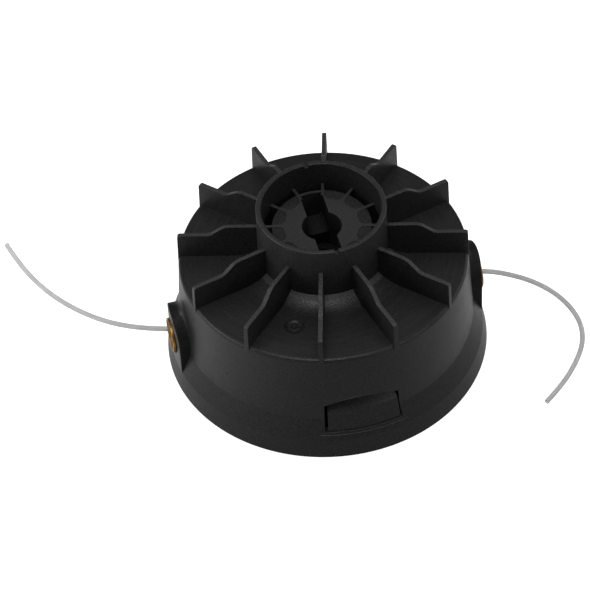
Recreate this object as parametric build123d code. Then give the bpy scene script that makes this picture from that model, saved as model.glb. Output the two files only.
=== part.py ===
from build123d import *
import math
import os

# Trimmer head with tap feed. Sizes in millimetres, heights from the housing rim.
# X runs through the two line eyelets, Y through the two latches, Z up the shaft.

# Housing wall: rim radius, then the step in and the height of each edge above it
BASE_R = 52.0
BAND_STEP, BAND_Z = 1.6, 6.1
CONE_STEP, CONE_Z = 2.85, 13.2
TOP_STEP, PLATE_Z = 1.75, 38.35
EDGE_ROUND = 0.7
WALL = 2.2
PLATE_THICK = 2.25
RIM_WALL, SEAT_Z = 2.7, 2.5
LEDGE = 1.3

# Fan fins
FIN_COUNT = 12
FIN_FIRST = 15.0
FIN_TOP_THICK, FIN_FOOT_THICK = 1.25, 1.65
FIN_LOW, FIN_HIGH = 8.9, 12.55
FIN_KNEE_OUT, FIN_KNEE_IN = 35.4, 30.6

# Collar and drive hub
COLLAR_R, COLLAR_BORE_R, COLLAR_Z = 20.6, 18.7, 59.2
FOOT_R, FOOT_RISE = 27.25, 2.55
NOTCH_WIDTH, NOTCH_DEPTH = 1.35, 1.2
HUB_R, HUB_Z = 15.65, 50.7
SPOKE_THICK = 1.05
LEDGE_R, LEDGE_DEPTH = 12.5, 0.35
SLOT_WIDTH, SLOT_R, SLOT_DEPTH = 7.1, 14.6, 10.0
DRIVE_R, DRIVE_DEPTH = 6.25, 14.7
SHAFT_R = 4.1

# Gate mark on the top plate
GATE_RADIUS, GATE_ANGLE = 32.3, 239.6
GATE_R, GATE_DEPTH, GATE_NUB_R = 2.85, 0.6, 0.6

# Line bosses and eyelets
BOSS_STEP, BOSS_HALF, BOSS_ARCH_Z = 1.25, 8.8, 17.2
BOSS_FILLET = 2.0
EYELET_Z = 15.0
EYELET_FLANGE_R, EYELET_HOLE_R, EYELET_BARREL_R = 5.6, 3.0, 3.9
EYELET_SINK, EYELET_THICK = 0.15, 1.2
EYELET_GAP = 0.5
LINE_R = 0.8

# Latch windows and tabs
WINDOW_HALF_ANGLE, WINDOW_Z = 14.67, 8.7
WINDOW_ARCH_R, WINDOW_ARCH_Z = 27.8, 21.4
TAB_GAP, TAB_SIDE_GAP = 0.25, 0.75
TAB_SKIN = 0.25
TAB_BREAK_Z, TAB_TOP_Z, ARM_TOP_Z = 15.8, 19.0, 22.6
ARM_THICK = 2.0
ARM_GAP = 0.4

# Cover
COVER_THICK = 2.2
COVER_GAP = 0.4
COVER_LIP, COVER_LIP_Z = 2.2, 3.6
RUN_GAP = 0.8

# Index lugs
LUG_COUNT = 6
LUG_IN_R, LUG_OUT_R = 24.0, 30.0
LUG_HALF_ANGLE = 6.0
COVER_LUG, COVER_LUG_ANGLE = 3.0, -27.0
HOUSING_LUG_ANGLE = -43.0
KNOB_TRAVEL = 6.0
SEAT_GAP = 0.3
LUG_LASH = 0.5

# Spool
SPOOL_GAP = 1.2
FLANGE, MID_FLANGE = 2.0, 1.5
CHAMBER = 7.2
CORE_R, CORE_BORE_R = 16.0, 13.6
FLOOR = 2.5
SPINDLE_R, SPINDLE_Z = 9.0, 4.0
TURN_FIT = 0.05
WIND_STEP = 7.0
TURNS = 4

# Spring and washer
WASHER = 1.0
WASHER_GAP = 0.4
WIRE = 1.6
SPRING_R = 11.5
COILS = 4.5

# Bump knob
KNOB_DROP = 7.0
KNOB_TUBE_R, KNOB_TUBE_BORE_R, KNOB_TUBE_Z = 17.0, 14.6, -3.4
KNOB_R = 19.2
KNOB_FLOOR = 3.0
KNOB_EDGE = 2.4
FLUTE_COUNT = 10
FLUTE_R, FLUTE_DEPTH = 3.4, 0.9

# Free ends of the line, in plan, from the eyelet outwards
LINE_LEFT = [
    (-42.9, -0.7, 15.5),
    (-52.6, 1.8, 15.9),
    (-61.7, 5.8, 16.0),
    (-70.1, 11.3, 16.0),
    (-77.5, 18.0, 16.0),
    (-83.8, 25.75, 16.0),
    (-89.0, 34.3, 16.0),
    (-92.8, 43.6, 16.0),
    (-95.2, 53.3, 16.0),
]
LINE_RIGHT = [
    (43.1, 0.6, 15.5),
    (52.4, -1.6, 15.9),
    (60.9, -6.0, 16.0),
    (68.1, -12.3, 16.0),
    (73.3, -20.4, 16.0),
    (75.4, -29.8, 16.0),
    (74.1, -39.4, 16.0),
    (69.6, -47.9, 16.0),
    (62.8, -54.6, 16.0),
    (55.1, -60.3, 16.0),
]

# Radii and heights that follow from the sizes above
BAND_R = BASE_R - BAND_STEP
CONE_R = BAND_R - CONE_STEP
TOP_R = CONE_R - TOP_STEP
SEAT_R = BASE_R - RIM_WALL
BOSS_R = BASE_R - BOSS_STEP
EYELET_SEAT_X = BOSS_R - EYELET_SINK
FLANGE_R = TOP_R - WALL - ARM_GAP - ARM_THICK - SPOOL_GAP
WIND_R = FLANGE_R - WIND_STEP
CEILING_Z = PLATE_Z - PLATE_THICK
FLANGE_Z = COVER_THICK + COVER_LUG + LUG_LASH
LOWER_Z = FLANGE_Z + FLANGE
MID_Z = LOWER_Z + CHAMBER
UPPER_Z = MID_Z + MID_FLANGE
CAP_Z = UPPER_Z + CHAMBER
SPOOL_TOP_Z = CAP_Z + FLANGE
UPPER_LUG = CEILING_Z - SPOOL_TOP_Z - KNOB_TRAVEL - LUG_LASH
FLOOR_Z = FLANGE_Z + FLOOR
COVER_HOLE_R = KNOB_R + RUN_GAP
CONE_SLOPE = (CONE_R - TOP_R) / (PLATE_Z - CONE_Z)
BAND_SLOPE = (BAND_R - CONE_R) / (CONE_Z - BAND_Z)
INNER_TURN_Z = CONE_Z + 0.2
EPS = 0.5


def wall_r(z):
    """Outer radius of the housing wall at a height above the lower band."""
    if z < CONE_Z:
        return CONE_R + (CONE_Z - z) * BAND_SLOPE
    return CONE_R - (z - CONE_Z) * CONE_SLOPE


def inner_r(z):
    """Inner radius of the housing wall above the cover's seat."""
    if z < INNER_TURN_Z:
        return wall_r(INNER_TURN_Z) - WALL + (INNER_TURN_Z - z) * BAND_SLOPE * 0.92
    return wall_r(z) - WALL


def turned(points, angle=360.0):
    """Solid of revolution about Z from a closed profile of radius and height."""
    profile = make_face(Plane.XZ * Polyline(*points, close=True))
    return revolve(profile, Axis.Z, angle)


def ring(outer, inner, z0, z1):
    """Plain ring or disc between two heights."""
    return turned([(inner, z0), (outer, z0), (outer, z1), (inner, z1)])


def lugs(z0, z1, first):
    """Set of index lugs between two heights, as sectors of a ring."""
    points = [(LUG_IN_R, z0), (LUG_OUT_R, z0), (LUG_OUT_R, z1), (LUG_IN_R, z1)]
    lug = turned(points, 2 * LUG_HALF_ANGLE)
    step = 360.0 / LUG_COUNT
    return [Rot(0, 0, first - LUG_HALF_ANGLE + step * k) * lug for k in range(LUG_COUNT)]


def both_ends(shape):
    """The shape and its copy half a turn round."""
    return [shape, Rot(0, 0, 180) * shape]


def fin():
    """One fan fin on X: a side outline with drafted faces."""
    low = PLATE_Z + FIN_LOW
    high = PLATE_Z + FIN_HIGH
    foot = PLATE_Z - 1.0
    root = COLLAR_R - 0.6
    outline = Polyline(
        (root, foot),
        (TOP_R - 0.1, foot),
        (TOP_R - 0.25, low),
        (FIN_KNEE_OUT, low),
        (FIN_KNEE_IN, high),
        (root, high),
        close=True,
    )
    side = extrude(make_face(Plane.XZ * outline), FIN_FOOT_THICK, both=True)
    wide = FIN_FOOT_THICK / 2
    thin = FIN_TOP_THICK / 2
    section = Polyline((-wide, foot), (wide, foot), (thin, high), (-thin, high), close=True)
    drafted = extrude(make_face(Plane.YZ * section), BASE_R)
    return side & drafted


def line_boss():
    """Arched boss round the eyelet on the +X side."""
    square = Pos(0, BOSS_ARCH_Z / 2) * Rectangle(2 * BOSS_HALF, BOSS_ARCH_Z - 2 * SEAT_Z)
    arch = Pos(0, BOSS_ARCH_Z) * Circle(BOSS_HALF)
    outline = square + arch
    block = extrude(Plane.YZ.offset(inner_r(BOSS_ARCH_Z)) * outline, BASE_R)
    top = BOSS_ARCH_Z + BOSS_HALF + 1.0
    return block & ring(BOSS_R, 0, 0, top)


def boss_roots(body):
    """Edges where the arches of the bosses meet the wall."""
    roots = []
    for edge in body.edges():
        middle = edge.center()
        on_arch = BOSS_ARCH_Z - EPS < middle.Z < BOSS_ARCH_Z + BOSS_HALF + EPS
        if on_arch and abs(middle.Y) < BOSS_HALF + EPS and math.hypot(middle.X, middle.Y) < BOSS_R - 2 * EPS:
            roots.append(edge)
    return roots


def along_x(shape):
    """Turn a shape modelled on Z so that it lies on the eyelet's axis."""
    return Pos(0, 0, EYELET_Z) * (Rot(0, 90, 0) * shape)


def eyelet_hole():
    """Stepped hole for the eyelet on the +X side."""
    barrel = ring(EYELET_BARREL_R + TURN_FIT, 0, FLANGE_R, BASE_R)
    face = ring(EYELET_FLANGE_R + EYELET_GAP, 0, EYELET_SEAT_X - TURN_FIT, BASE_R)
    return along_x(barrel) + along_x(face)


def window():
    """Latch window through the wall on the -Y side, with radial sides and an arched top."""
    reach = BASE_R + EPS
    high = WINDOW_ARCH_Z + EPS
    points = [(FLANGE_R, WINDOW_Z), (reach, WINDOW_Z), (reach, high), (FLANGE_R, high)]
    sector = Rot(0, 0, -90 - WINDOW_HALF_ANGLE) * turned(points, 2 * WINDOW_HALF_ANGLE)
    arch = Pos(0, WINDOW_ARCH_Z - WINDOW_ARCH_R) * Circle(WINDOW_ARCH_R)
    return sector & extrude(Plane.XZ * arch, reach)


def drive_opening():
    """Drive slot and stepped bore cut into the hub from above."""
    deep = SLOT_DEPTH + EPS
    slot = Pos(0, 0, HUB_Z - SLOT_DEPTH + deep / 2) * Box(SLOT_WIDTH, 3 * SLOT_R, deep)
    slot = slot & ring(SLOT_R, 0, HUB_Z - SLOT_DEPTH, HUB_Z + EPS)
    bore = ring(DRIVE_R, 0, HUB_Z - DRIVE_DEPTH, HUB_Z + EPS)
    shaft = ring(SHAFT_R, 0, SPINDLE_Z - EPS, HUB_Z)
    return slot + bore + shaft


def hub_ledges():
    """Shallow ledges between the spokes, except beside the slot's ends."""
    floor = HUB_Z - LEDGE_DEPTH
    step = 360.0 / FIN_COUNT
    span = step - 2 * math.degrees(math.asin(0.75 * SPOKE_THICK / LEDGE_R))
    points = [(LEDGE_R, floor), (HUB_R + EPS, floor), (HUB_R + EPS, HUB_Z + EPS), (LEDGE_R, HUB_Z + EPS)]
    ledge = turned(points, span)
    upright = ledge.edges().filter_by(Axis.Z).sort_by(lambda e: e.center().X ** 2 + e.center().Y ** 2)
    ledge = fillet(upright[:2], 1.3)
    places = [FIN_FIRST + step * (k + 0.5) for k in range(FIN_COUNT)]
    return [Rot(0, 0, a - span / 2) * ledge for a in places if abs(math.sin(math.radians(a))) < 0.99]


def make_housing():
    outer = turned([
        (0, 0),
        (BASE_R, 0),
        (BAND_R, BAND_Z),
        (CONE_R, CONE_Z),
        (TOP_R + EDGE_ROUND * CONE_SLOPE, PLATE_Z - EDGE_ROUND),
        (TOP_R - 0.3 * EDGE_ROUND, PLATE_Z - 0.3 * EDGE_ROUND),
        (TOP_R - EDGE_ROUND, PLATE_Z),
        (0, PLATE_Z),
    ])
    body = outer + both_ends(line_boss())
    body = fillet(boss_roots(body), BOSS_FILLET)
    body -= turned([
        (0, -EPS),
        (SEAT_R, -EPS),
        (SEAT_R, SEAT_Z),
        (SEAT_R - LEDGE, SEAT_Z),
        (SEAT_R - LEDGE, BAND_Z),
        (inner_r(INNER_TURN_Z), INNER_TURN_Z),
        (inner_r(CEILING_Z), CEILING_Z),
        (0, CEILING_Z),
    ])
    body -= both_ends(window())
    body -= both_ends(eyelet_hole())

    body += turned([
        (COLLAR_BORE_R, PLATE_Z - 1),
        (FOOT_R, PLATE_Z - 1),
        (FOOT_R, PLATE_Z),
        (COLLAR_R, PLATE_Z + FOOT_RISE),
        (COLLAR_R, COLLAR_Z),
        (COLLAR_BORE_R, COLLAR_Z),
    ])
    spin = 360.0 / FIN_COUNT
    blade = fin()
    body += [Rot(0, 0, FIN_FIRST + spin * k) * blade for k in range(FIN_COUNT)]

    body += ring(HUB_R, 0, PLATE_Z - 1, HUB_Z)
    reach = COLLAR_BORE_R + 0.5 - LEDGE_R
    tall = HUB_Z - PLATE_Z + 1
    spoke = Pos(LEDGE_R + reach / 2, 0, HUB_Z - tall / 2) * Box(reach, SPOKE_THICK, tall)
    body += [Rot(0, 0, FIN_FIRST + spin * k) * spoke for k in range(FIN_COUNT)]
    body -= hub_ledges()

    body += turned([
        (0, SPINDLE_Z),
        (SPINDLE_R - 1, SPINDLE_Z),
        (SPINDLE_R, SPINDLE_Z + 1),
        (SPINDLE_R, CEILING_Z + 1),
        (0, CEILING_Z + 1),
    ])
    body -= drive_opening()
    body += lugs(CEILING_Z - UPPER_LUG, CEILING_Z + 1, HOUSING_LUG_ANGLE)

    notch = Pos(0, 0, COLLAR_Z) * Box(NOTCH_WIDTH, 3 * COLLAR_R, 2 * NOTCH_DEPTH)
    body -= notch

    bowl_r = (GATE_R ** 2 + GATE_DEPTH ** 2) / (2 * GATE_DEPTH)
    bowl = Pos(0, 0, PLATE_Z + bowl_r - GATE_DEPTH) * Sphere(bowl_r)
    nub = ring(GATE_NUB_R, 0, PLATE_Z - GATE_DEPTH - EPS, PLATE_Z - 0.3 * GATE_DEPTH)
    body -= Rot(0, 0, GATE_ANGLE) * (Pos(GATE_RADIUS, 0, 0) * (bowl - nub))
    return body


def make_eyelet():
    inside = inner_r(EYELET_Z) - 0.6
    face = EYELET_SEAT_X + EYELET_THICK
    bead = 0.42 * EYELET_THICK
    shape = turned([
        (EYELET_HOLE_R + 0.5, inside),
        (EYELET_BARREL_R, inside),
        (EYELET_BARREL_R, EYELET_SEAT_X),
        (EYELET_FLANGE_R, EYELET_SEAT_X),
        (EYELET_FLANGE_R, face - bead),
        (EYELET_FLANGE_R - bead, face),
        (EYELET_HOLE_R + 1.5, face),
        (EYELET_HOLE_R + 0.5, face - 0.35),
        (EYELET_HOLE_R, face - 1.5),
        (EYELET_HOLE_R, inside + 0.5),
    ])
    return along_x(shape)


def make_cover():
    rim = SEAT_R - COVER_GAP
    body = turned([
        (COVER_HOLE_R, -0.6),
        (COVER_HOLE_R + COVER_LIP - 0.6, -0.6),
        (COVER_HOLE_R + COVER_LIP, 0),
        (rim - 0.5, 0),
        (rim, 0.5),
        (rim, COVER_THICK),
        (COVER_HOLE_R + COVER_LIP, COVER_THICK),
        (COVER_HOLE_R + COVER_LIP, COVER_LIP_Z),
        (COVER_HOLE_R, COVER_LIP_Z),
    ])
    body += lugs(COVER_THICK - 1, COVER_THICK + COVER_LUG, COVER_LUG_ANGLE)

    foot_r = inner_r(WINDOW_Z) - ARM_GAP
    top_r = inner_r(ARM_TOP_Z) - ARM_GAP
    tab_z = WINDOW_Z + TAB_GAP
    half = WINDOW_HALF_ANGLE - math.degrees(TAB_SIDE_GAP / wall_r(tab_z))
    arm = turned([
        (foot_r - ARM_THICK, COVER_THICK - 1),
        (foot_r, COVER_THICK - 1),
        (foot_r, tab_z),
        (wall_r(tab_z) - TAB_SKIN, tab_z),
        (wall_r(TAB_BREAK_Z) - TAB_SKIN, TAB_BREAK_Z),
        (top_r, TAB_TOP_Z),
        (top_r, ARM_TOP_Z),
        (top_r - 0.8 * ARM_THICK, ARM_TOP_Z),
        (top_r - 0.8 * ARM_THICK, TAB_TOP_Z),
        (foot_r - ARM_THICK, TAB_BREAK_Z),
    ], 2 * half)
    body += both_ends(Rot(0, 0, -90 - half) * arm)
    return body


def make_spool():
    body = turned([
        (SPINDLE_R + TURN_FIT, FLANGE_Z),
        (KNOB_TUBE_BORE_R, FLANGE_Z),
        (KNOB_TUBE_BORE_R, KNOB_TUBE_Z),
        (KNOB_TUBE_R, KNOB_TUBE_Z),
        (KNOB_TUBE_R, FLANGE_Z),
        (FLANGE_R, FLANGE_Z),
        (FLANGE_R, LOWER_Z),
        (CORE_R, LOWER_Z),
        (CORE_R, MID_Z),
        (FLANGE_R, MID_Z),
        (FLANGE_R, UPPER_Z),
        (CORE_R, UPPER_Z),
        (CORE_R, CAP_Z),
        (FLANGE_R, CAP_Z),
        (FLANGE_R, SPOOL_TOP_Z),
        (CORE_BORE_R, SPOOL_TOP_Z),
        (CORE_BORE_R, FLOOR_Z),
        (SPINDLE_R + TURN_FIT, FLOOR_Z),
    ])
    body += lugs(COVER_THICK + SEAT_GAP, FLANGE_Z + 1, 0)
    body += lugs(SPOOL_TOP_Z - 1, SPOOL_TOP_Z + UPPER_LUG, 0)
    return body


def make_winding(floor):
    low = floor + 0.1
    pitch = (CHAMBER - 0.2) / TURNS
    points = [(CORE_R + TURN_FIT, low)]
    for k in range(TURNS):
        z = low + k * pitch
        points.append((WIND_R - 0.5, z))
        points.append((WIND_R, z + 0.25 * pitch))
        points.append((WIND_R, z + 0.75 * pitch))
    points.append((WIND_R - 0.5, low + TURNS * pitch))
    points.append((CORE_R + TURN_FIT, low + TURNS * pitch))
    return turned(points)


def make_washer():
    low = FLOOR_Z + TURN_FIT
    return ring(CORE_BORE_R - WASHER_GAP, SPINDLE_R + WASHER_GAP, low, low + WASHER)


def make_spring():
    low = FLOOR_Z + TURN_FIT + WASHER + WIRE / 2
    high = CEILING_Z - WIRE / 2
    coil = Helix((high - low) / COILS, high - low, SPRING_R, center=(0, 0, low))
    start = Plane(origin=coil @ 0, z_dir=coil % 0)
    wire = sweep(start * RegularPolygon(WIRE / 2, 6), path=coil, is_frenet=True)
    return wire & ring(SPRING_R + 2, SPRING_R - 2, low - WIRE / 2, high + WIRE / 2)


def make_knob():
    low = -KNOB_DROP
    bore = KNOB_TUBE_R + TURN_FIT
    body = turned([
        (0, low),
        (KNOB_R - KNOB_EDGE, low),
        (KNOB_R - 0.3 * KNOB_EDGE, low + 0.3 * KNOB_EDGE),
        (KNOB_R, low + KNOB_EDGE),
        (KNOB_R, FLANGE_Z - 0.1),
        (bore, FLANGE_Z - 0.1),
        (bore, low + KNOB_FLOOR),
        (0, low + KNOB_FLOOR),
    ])
    across = KNOB_R + FLUTE_R - FLUTE_DEPTH
    flute = Pos(across, 0, 0) * ring(FLUTE_R, 0, low - EPS, -1.0)
    step = 360.0 / FLUTE_COUNT
    body -= [Rot(0, 0, step * k) * flute for k in range(FLUTE_COUNT)]
    return body


def make_line(route):
    radii = []
    for a, b, c in zip(route, route[1:], route[2:]):
        first = Vector(*b) - Vector(*a)
        second = Vector(*c) - Vector(*b)
        turn = math.radians(first.get_angle(second))
        radii.append(0.45 * min(first.length, second.length) / math.tan(turn / 2))
    path = FilletPolyline(*route, radius=radii)
    start = Plane(origin=path @ 0, z_dir=path % 0)
    tube = sweep(start * Circle(LINE_R), path=path)
    print("bend radii", [round(r, 1) for r in radii])
    print("volume", round(tube.volume, 2), "section x length", round(math.pi * LINE_R ** 2 * path.length, 2))
    return tube


eyelet = make_eyelet()
nodes = {
    "housing": make_housing(),
    "eyelet_right": eyelet,
    "eyelet_left": Rot(0, 0, 180) * eyelet,
    "cover": make_cover(),
    "spool": make_spool(),
    "winding_lower": make_winding(LOWER_Z),
    "winding_upper": make_winding(UPPER_Z),
    "spring_washer": make_washer(),
    "feed_spring": make_spring(),
    "bump_knob": make_knob(),
    "line_left": make_line(LINE_LEFT),
    "line_right": make_line(LINE_RIGHT),
}

os.makedirs("parts", exist_ok=True)
for name, shape in nodes.items():
    placed = Pos(0, 0, KNOB_DROP) * shape
    export_step(placed, f"parts/{name}.step")
    print(name, len(placed.solids()), round(placed.volume, 1), placed.is_valid)
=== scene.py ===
import math

import bmesh
import bpy
from mathutils import Matrix, Vector


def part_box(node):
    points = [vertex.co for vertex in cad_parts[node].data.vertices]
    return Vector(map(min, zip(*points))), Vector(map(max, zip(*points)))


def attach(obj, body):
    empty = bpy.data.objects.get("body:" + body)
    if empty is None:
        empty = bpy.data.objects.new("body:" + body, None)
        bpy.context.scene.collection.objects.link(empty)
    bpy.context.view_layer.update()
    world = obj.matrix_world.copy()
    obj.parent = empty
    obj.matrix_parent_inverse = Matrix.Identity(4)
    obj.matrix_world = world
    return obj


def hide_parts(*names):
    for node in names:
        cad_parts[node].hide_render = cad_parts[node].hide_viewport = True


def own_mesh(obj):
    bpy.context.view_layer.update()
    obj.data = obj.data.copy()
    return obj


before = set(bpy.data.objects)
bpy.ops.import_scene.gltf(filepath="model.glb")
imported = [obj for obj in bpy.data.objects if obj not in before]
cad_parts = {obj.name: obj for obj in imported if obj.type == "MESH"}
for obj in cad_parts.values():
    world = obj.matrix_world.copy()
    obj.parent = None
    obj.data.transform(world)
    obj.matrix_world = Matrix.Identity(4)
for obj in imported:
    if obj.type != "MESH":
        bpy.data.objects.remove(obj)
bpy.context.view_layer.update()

scene = bpy.context.scene

# Sizes in millimetres, heights from the housing rim, as in the part's source
MM = 0.001
RIM = 7.0
RIM_R, RIM_BORE_R, RIM_DROP = 52.05, 49.3, 0.4
BAND_R, BAND_BORE_R, BAND_Z = 50.65, 48.0, 6.1
CONE_R, CONE_Z = 47.55, 13.2
TOP_R, PLATE_Z = 45.8, 38.35
STEP_Z = 36.3
CEILING_R, CEILING_Z = 43.6, 36.1
COLLAR_R, COLLAR_TOP_R, COLLAR_BORE_R, COLLAR_Z = 20.6, 20.4, 18.7, 59.2
FOOT_R, COVE_R = 28.2, 12.62
HUB_R, HUB_Z = 15.65, 50.7
BORE_R, BORE_STEP_Z = 6.25, 36.0
SHAFT_R = 4.1
SPINDLE_R, SPINDLE_Z = 9.0, 4.0
NOTCH_HALF, NOTCH_DEPTH = 0.675, 1.2
FIN_COUNT, FIN_FIRST = 12, 15.0
FIN_FOOT_Z, FIN_LOW_Z, FIN_HIGH_Z = 36.2, 47.25, 50.9
FIN_ROOT_R, FIN_NECK_R, FIN_KNEE_R, FIN_END_R = 20.0, 30.6, 35.4, 45.7
FIN_FOOT_HALF, FIN_TOP_HALF = 0.84, 0.64
SPOKE_HALF, SPOKE_ROOT_R, SPOKE_END_R = 0.52, 13.4, 18.95
EYELET_Z, EYELET_BORE_R = 15.0, 4.0
EYELET_SEAT_X, EYELET_FACE_X = 50.1, 51.4
EYELET_RIM_R, EYELET_SHADE_R = 5.6, 5.05
BOSS_R, BOSS_HALF, BOSS_FOOT_Z, BOSS_ARCH_Z = 50.75, 8.8, 4.0, 17.2
WINDOW_HALF_ANGLE, WINDOW_Z = 14.67, 8.7
WINDOW_ARCH_R, WINDOW_ARCH_Z = 27.8, 21.4
TAB_HALF_ANGLE, TAB_LASH = 13.8, 0.3
SLOT_HALF, SLOT_R, SLOT_DEPTH, SLOT_ROUND = 3.55, 14.6, 10.0, 3.4
LEDGE_R, LEDGE_DEPTH = 11.8, 0.15
GATE_RADIUS, GATE_ANGLE, GATE_R, GATE_DEPTH = 32.3, 239.8, 3.2, 0.95
LINE_R = 0.8
SPRING_R, WIRE_R, SPRING_COILS = 11.5, 0.8, 4.5
KNOB_R, KNOB_TUBE_R, KNOB_TRAVEL = 19.2, 17.05, 6.0
FLUTE_COUNT, FLUTE_DEPTH, FLUTE_TOP_Z = 10, 0.9, -1.0
FLOOR_GAP, FLOOR_HALF = 0.25, 6000.0


# Mesh helpers

def rounded(points, steps=5, hold=0.25):
    """Closed profile through the points, with an arc at each corner that has a radius.

    A point just before and after each arc keeps the shading of the flats next to it flat.
    """
    out = []
    count = len(points)
    for i, p in enumerate(points):
        here = Vector(p[:2])
        radius = p[2] if len(p) > 2 else 0.0
        before = Vector(points[i - 1][:2]) - here
        after = Vector(points[(i + 1) % count][:2]) - here
        bend = math.pi - before.angle(after)
        if radius == 0.0 or bend < 1e-3:
            out.append(here)
            continue
        neighbours = (points[i - 1], points[(i + 1) % count])
        shares = [0.42 if len(q) > 2 and q[2] else 0.9 for q in neighbours]
        reach = min(
            radius * math.tan(bend / 2), shares[0] * before.length, shares[1] * after.length)
        radius = reach / math.tan(bend / 2)
        held = min(hold, 0.05 * before.length, 0.05 * after.length)
        before.normalize()
        after.normalize()
        middle = here + (before + after).normalized() * (radius / math.cos(bend / 2))
        start = here + before * reach - middle
        end = here + after * reach - middle
        sweep = start.angle_signed(end)
        out.append(here + before * (reach + held))
        for k in range(steps + 1):
            out.append(middle + Matrix.Rotation(-sweep * k / steps, 2) @ start)
        out.append(here + after * (reach + held))
    return out


def lathe(bm, profile, segments, start=0.0, sweep=360.0):
    """Spin a closed profile of radius and height about Z."""
    turn = Matrix.Rotation(math.radians(start), 3, "Z")
    verts = [bm.verts.new(turn @ Vector((r, 0.0, z))) for r, z in profile]
    geom = verts + [bm.edges.new((a, b)) for a, b in zip(verts, verts[1:] + verts[:1])]
    whole = abs(sweep - 360.0) < 1e-6
    if not whole:
        geom.append(bm.faces.new(verts))
    bmesh.ops.spin(
        bm, geom=geom, cent=(0, 0, 0), axis=(0, 0, 1), angle=math.radians(sweep),
        steps=segments, use_merge=whole)


def extrude(bm, outline, reach):
    """Solid from a closed outline of points, pushed along a vector."""
    base = bm.faces.new([bm.verts.new(p) for p in outline])
    verts = list(base.verts)
    grown = bmesh.ops.extrude_face_region(bm, geom=[base])["geom"]
    far = [v for v in grown if isinstance(v, bmesh.types.BMVert)]
    bmesh.ops.translate(bm, vec=reach, verts=far)
    return verts + far


def prism(bm, outline, low, high):
    """Upright prism over a plan outline."""
    return extrude(bm, [(x, y, low) for x, y in outline], (0, 0, high - low))


def move(verts, matrix):
    for v in verts:
        v.co = matrix @ v.co


def spin(angle):
    return Matrix.Rotation(math.radians(angle), 4, "Z")


def soften(bm, edges, width, segments=2):
    bmesh.ops.bevel(
        bm, geom=list(edges), offset=width, offset_type="OFFSET", segments=segments,
        profile=0.5, affect="EDGES", clamp_overlap=True, material=-1,
    )


def sharp_edges(bm, degrees=35.0):
    limit = math.radians(degrees)
    return [e for e in bm.edges if len(e.link_faces) == 2 and e.calc_face_angle(0.0) > limit]


def finish_mesh(bm, name, smooth=19.5):
    """Mesh from a bmesh in millimetres above the rim, in metres in the shared frame."""
    bmesh.ops.recalc_face_normals(bm, faces=bm.faces)
    bmesh.ops.transform(
        bm, matrix=Matrix.Scale(MM, 4) @ Matrix.Translation((0, 0, RIM)), verts=bm.verts)
    mesh = bpy.data.meshes.new(name)
    bm.to_mesh(mesh)
    bm.free()
    mesh.shade_smooth()
    mesh.set_sharp_from_angle(angle=math.radians(smooth))
    return mesh


def loose(bm, name):
    """Plain object in millimetres, used as a boolean operand and then removed."""
    bmesh.ops.recalc_face_normals(bm, faces=bm.faces)
    mesh = bpy.data.meshes.new(name)
    bm.to_mesh(mesh)
    bm.free()
    ob = bpy.data.objects.new(name, mesh)
    scene.collection.objects.link(ob)
    return ob


def combine(base, tool, operation):
    """Boolean of two bmeshes, returned as a new bmesh."""
    a = loose(base, "operand")
    b = loose(tool, "cutter")
    mod = a.modifiers.new("cut", "BOOLEAN")
    mod.operation = operation
    mod.solver = "EXACT"
    mod.use_self = True
    mod.object = b
    graph = bpy.context.evaluated_depsgraph_get()
    mesh = bpy.data.meshes.new_from_object(a.evaluated_get(graph))
    out = bmesh.new()
    out.from_mesh(mesh)
    for ob in (a, b):
        data = ob.data
        bpy.data.objects.remove(ob)
        bpy.data.meshes.remove(data)
    bpy.data.meshes.remove(mesh)
    bmesh.ops.remove_doubles(out, verts=out.verts, dist=1e-4)
    return out


def append(target, source):
    """Copy one bmesh into another."""
    mesh = bpy.data.meshes.new("copy")
    source.to_mesh(mesh)
    source.free()
    target.from_mesh(mesh)
    bpy.data.meshes.remove(mesh)


def add_piece(name, mesh, body, material, slot, *stands_for):
    ob = bpy.data.objects.new(name, mesh)
    scene.collection.objects.link(ob)
    materials = material if isinstance(material, list) else [material]
    for m in materials:
        mesh.materials.append(m)
    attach(ob, body)
    if stands_for:
        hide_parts(*stands_for)
    return ob


# Materials

GRAIN_SCALE = 2600.0
SPECKLE_DARK, SPECKLE_LIGHT, SPECK_LIGHT = 0.45, 1.55, 3.0


def new_material(name):
    m = bpy.data.materials.new(name)
    m.use_nodes = True
    tree = m.node_tree
    tree.nodes.clear()
    out = tree.nodes.new("ShaderNodeOutputMaterial")
    shader = tree.nodes.new("ShaderNodeBsdfPrincipled")
    tree.links.new(shader.outputs["BSDF"], out.inputs["Surface"])
    return m, tree, shader


def add_noise(tree, scale, detail=3.0, vector=None):
    n = tree.nodes.new("ShaderNodeTexNoise")
    n.inputs["Scale"].default_value = scale
    n.inputs["Detail"].default_value = detail
    if vector is not None:
        tree.links.new(vector, n.inputs["Vector"])
    return n


def add_ramp(tree, source, low, high, first, last):
    r = tree.nodes.new("ShaderNodeValToRGB")
    r.color_ramp.elements[0].position = low
    r.color_ramp.elements[1].position = high
    r.color_ramp.elements[0].color = first
    r.color_ramp.elements[1].color = last
    tree.links.new(source, r.inputs["Fac"])
    return r


def grey(v):
    return (v, v, v, 1.0)


def add_math(tree, operation, *values):
    n = tree.nodes.new("ShaderNodeMath")
    n.operation = operation
    for socket, v in zip(n.inputs, values):
        if isinstance(v, (int, float)):
            socket.default_value = v
        else:
            tree.links.new(v, socket)
    return n.outputs["Value"]


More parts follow.
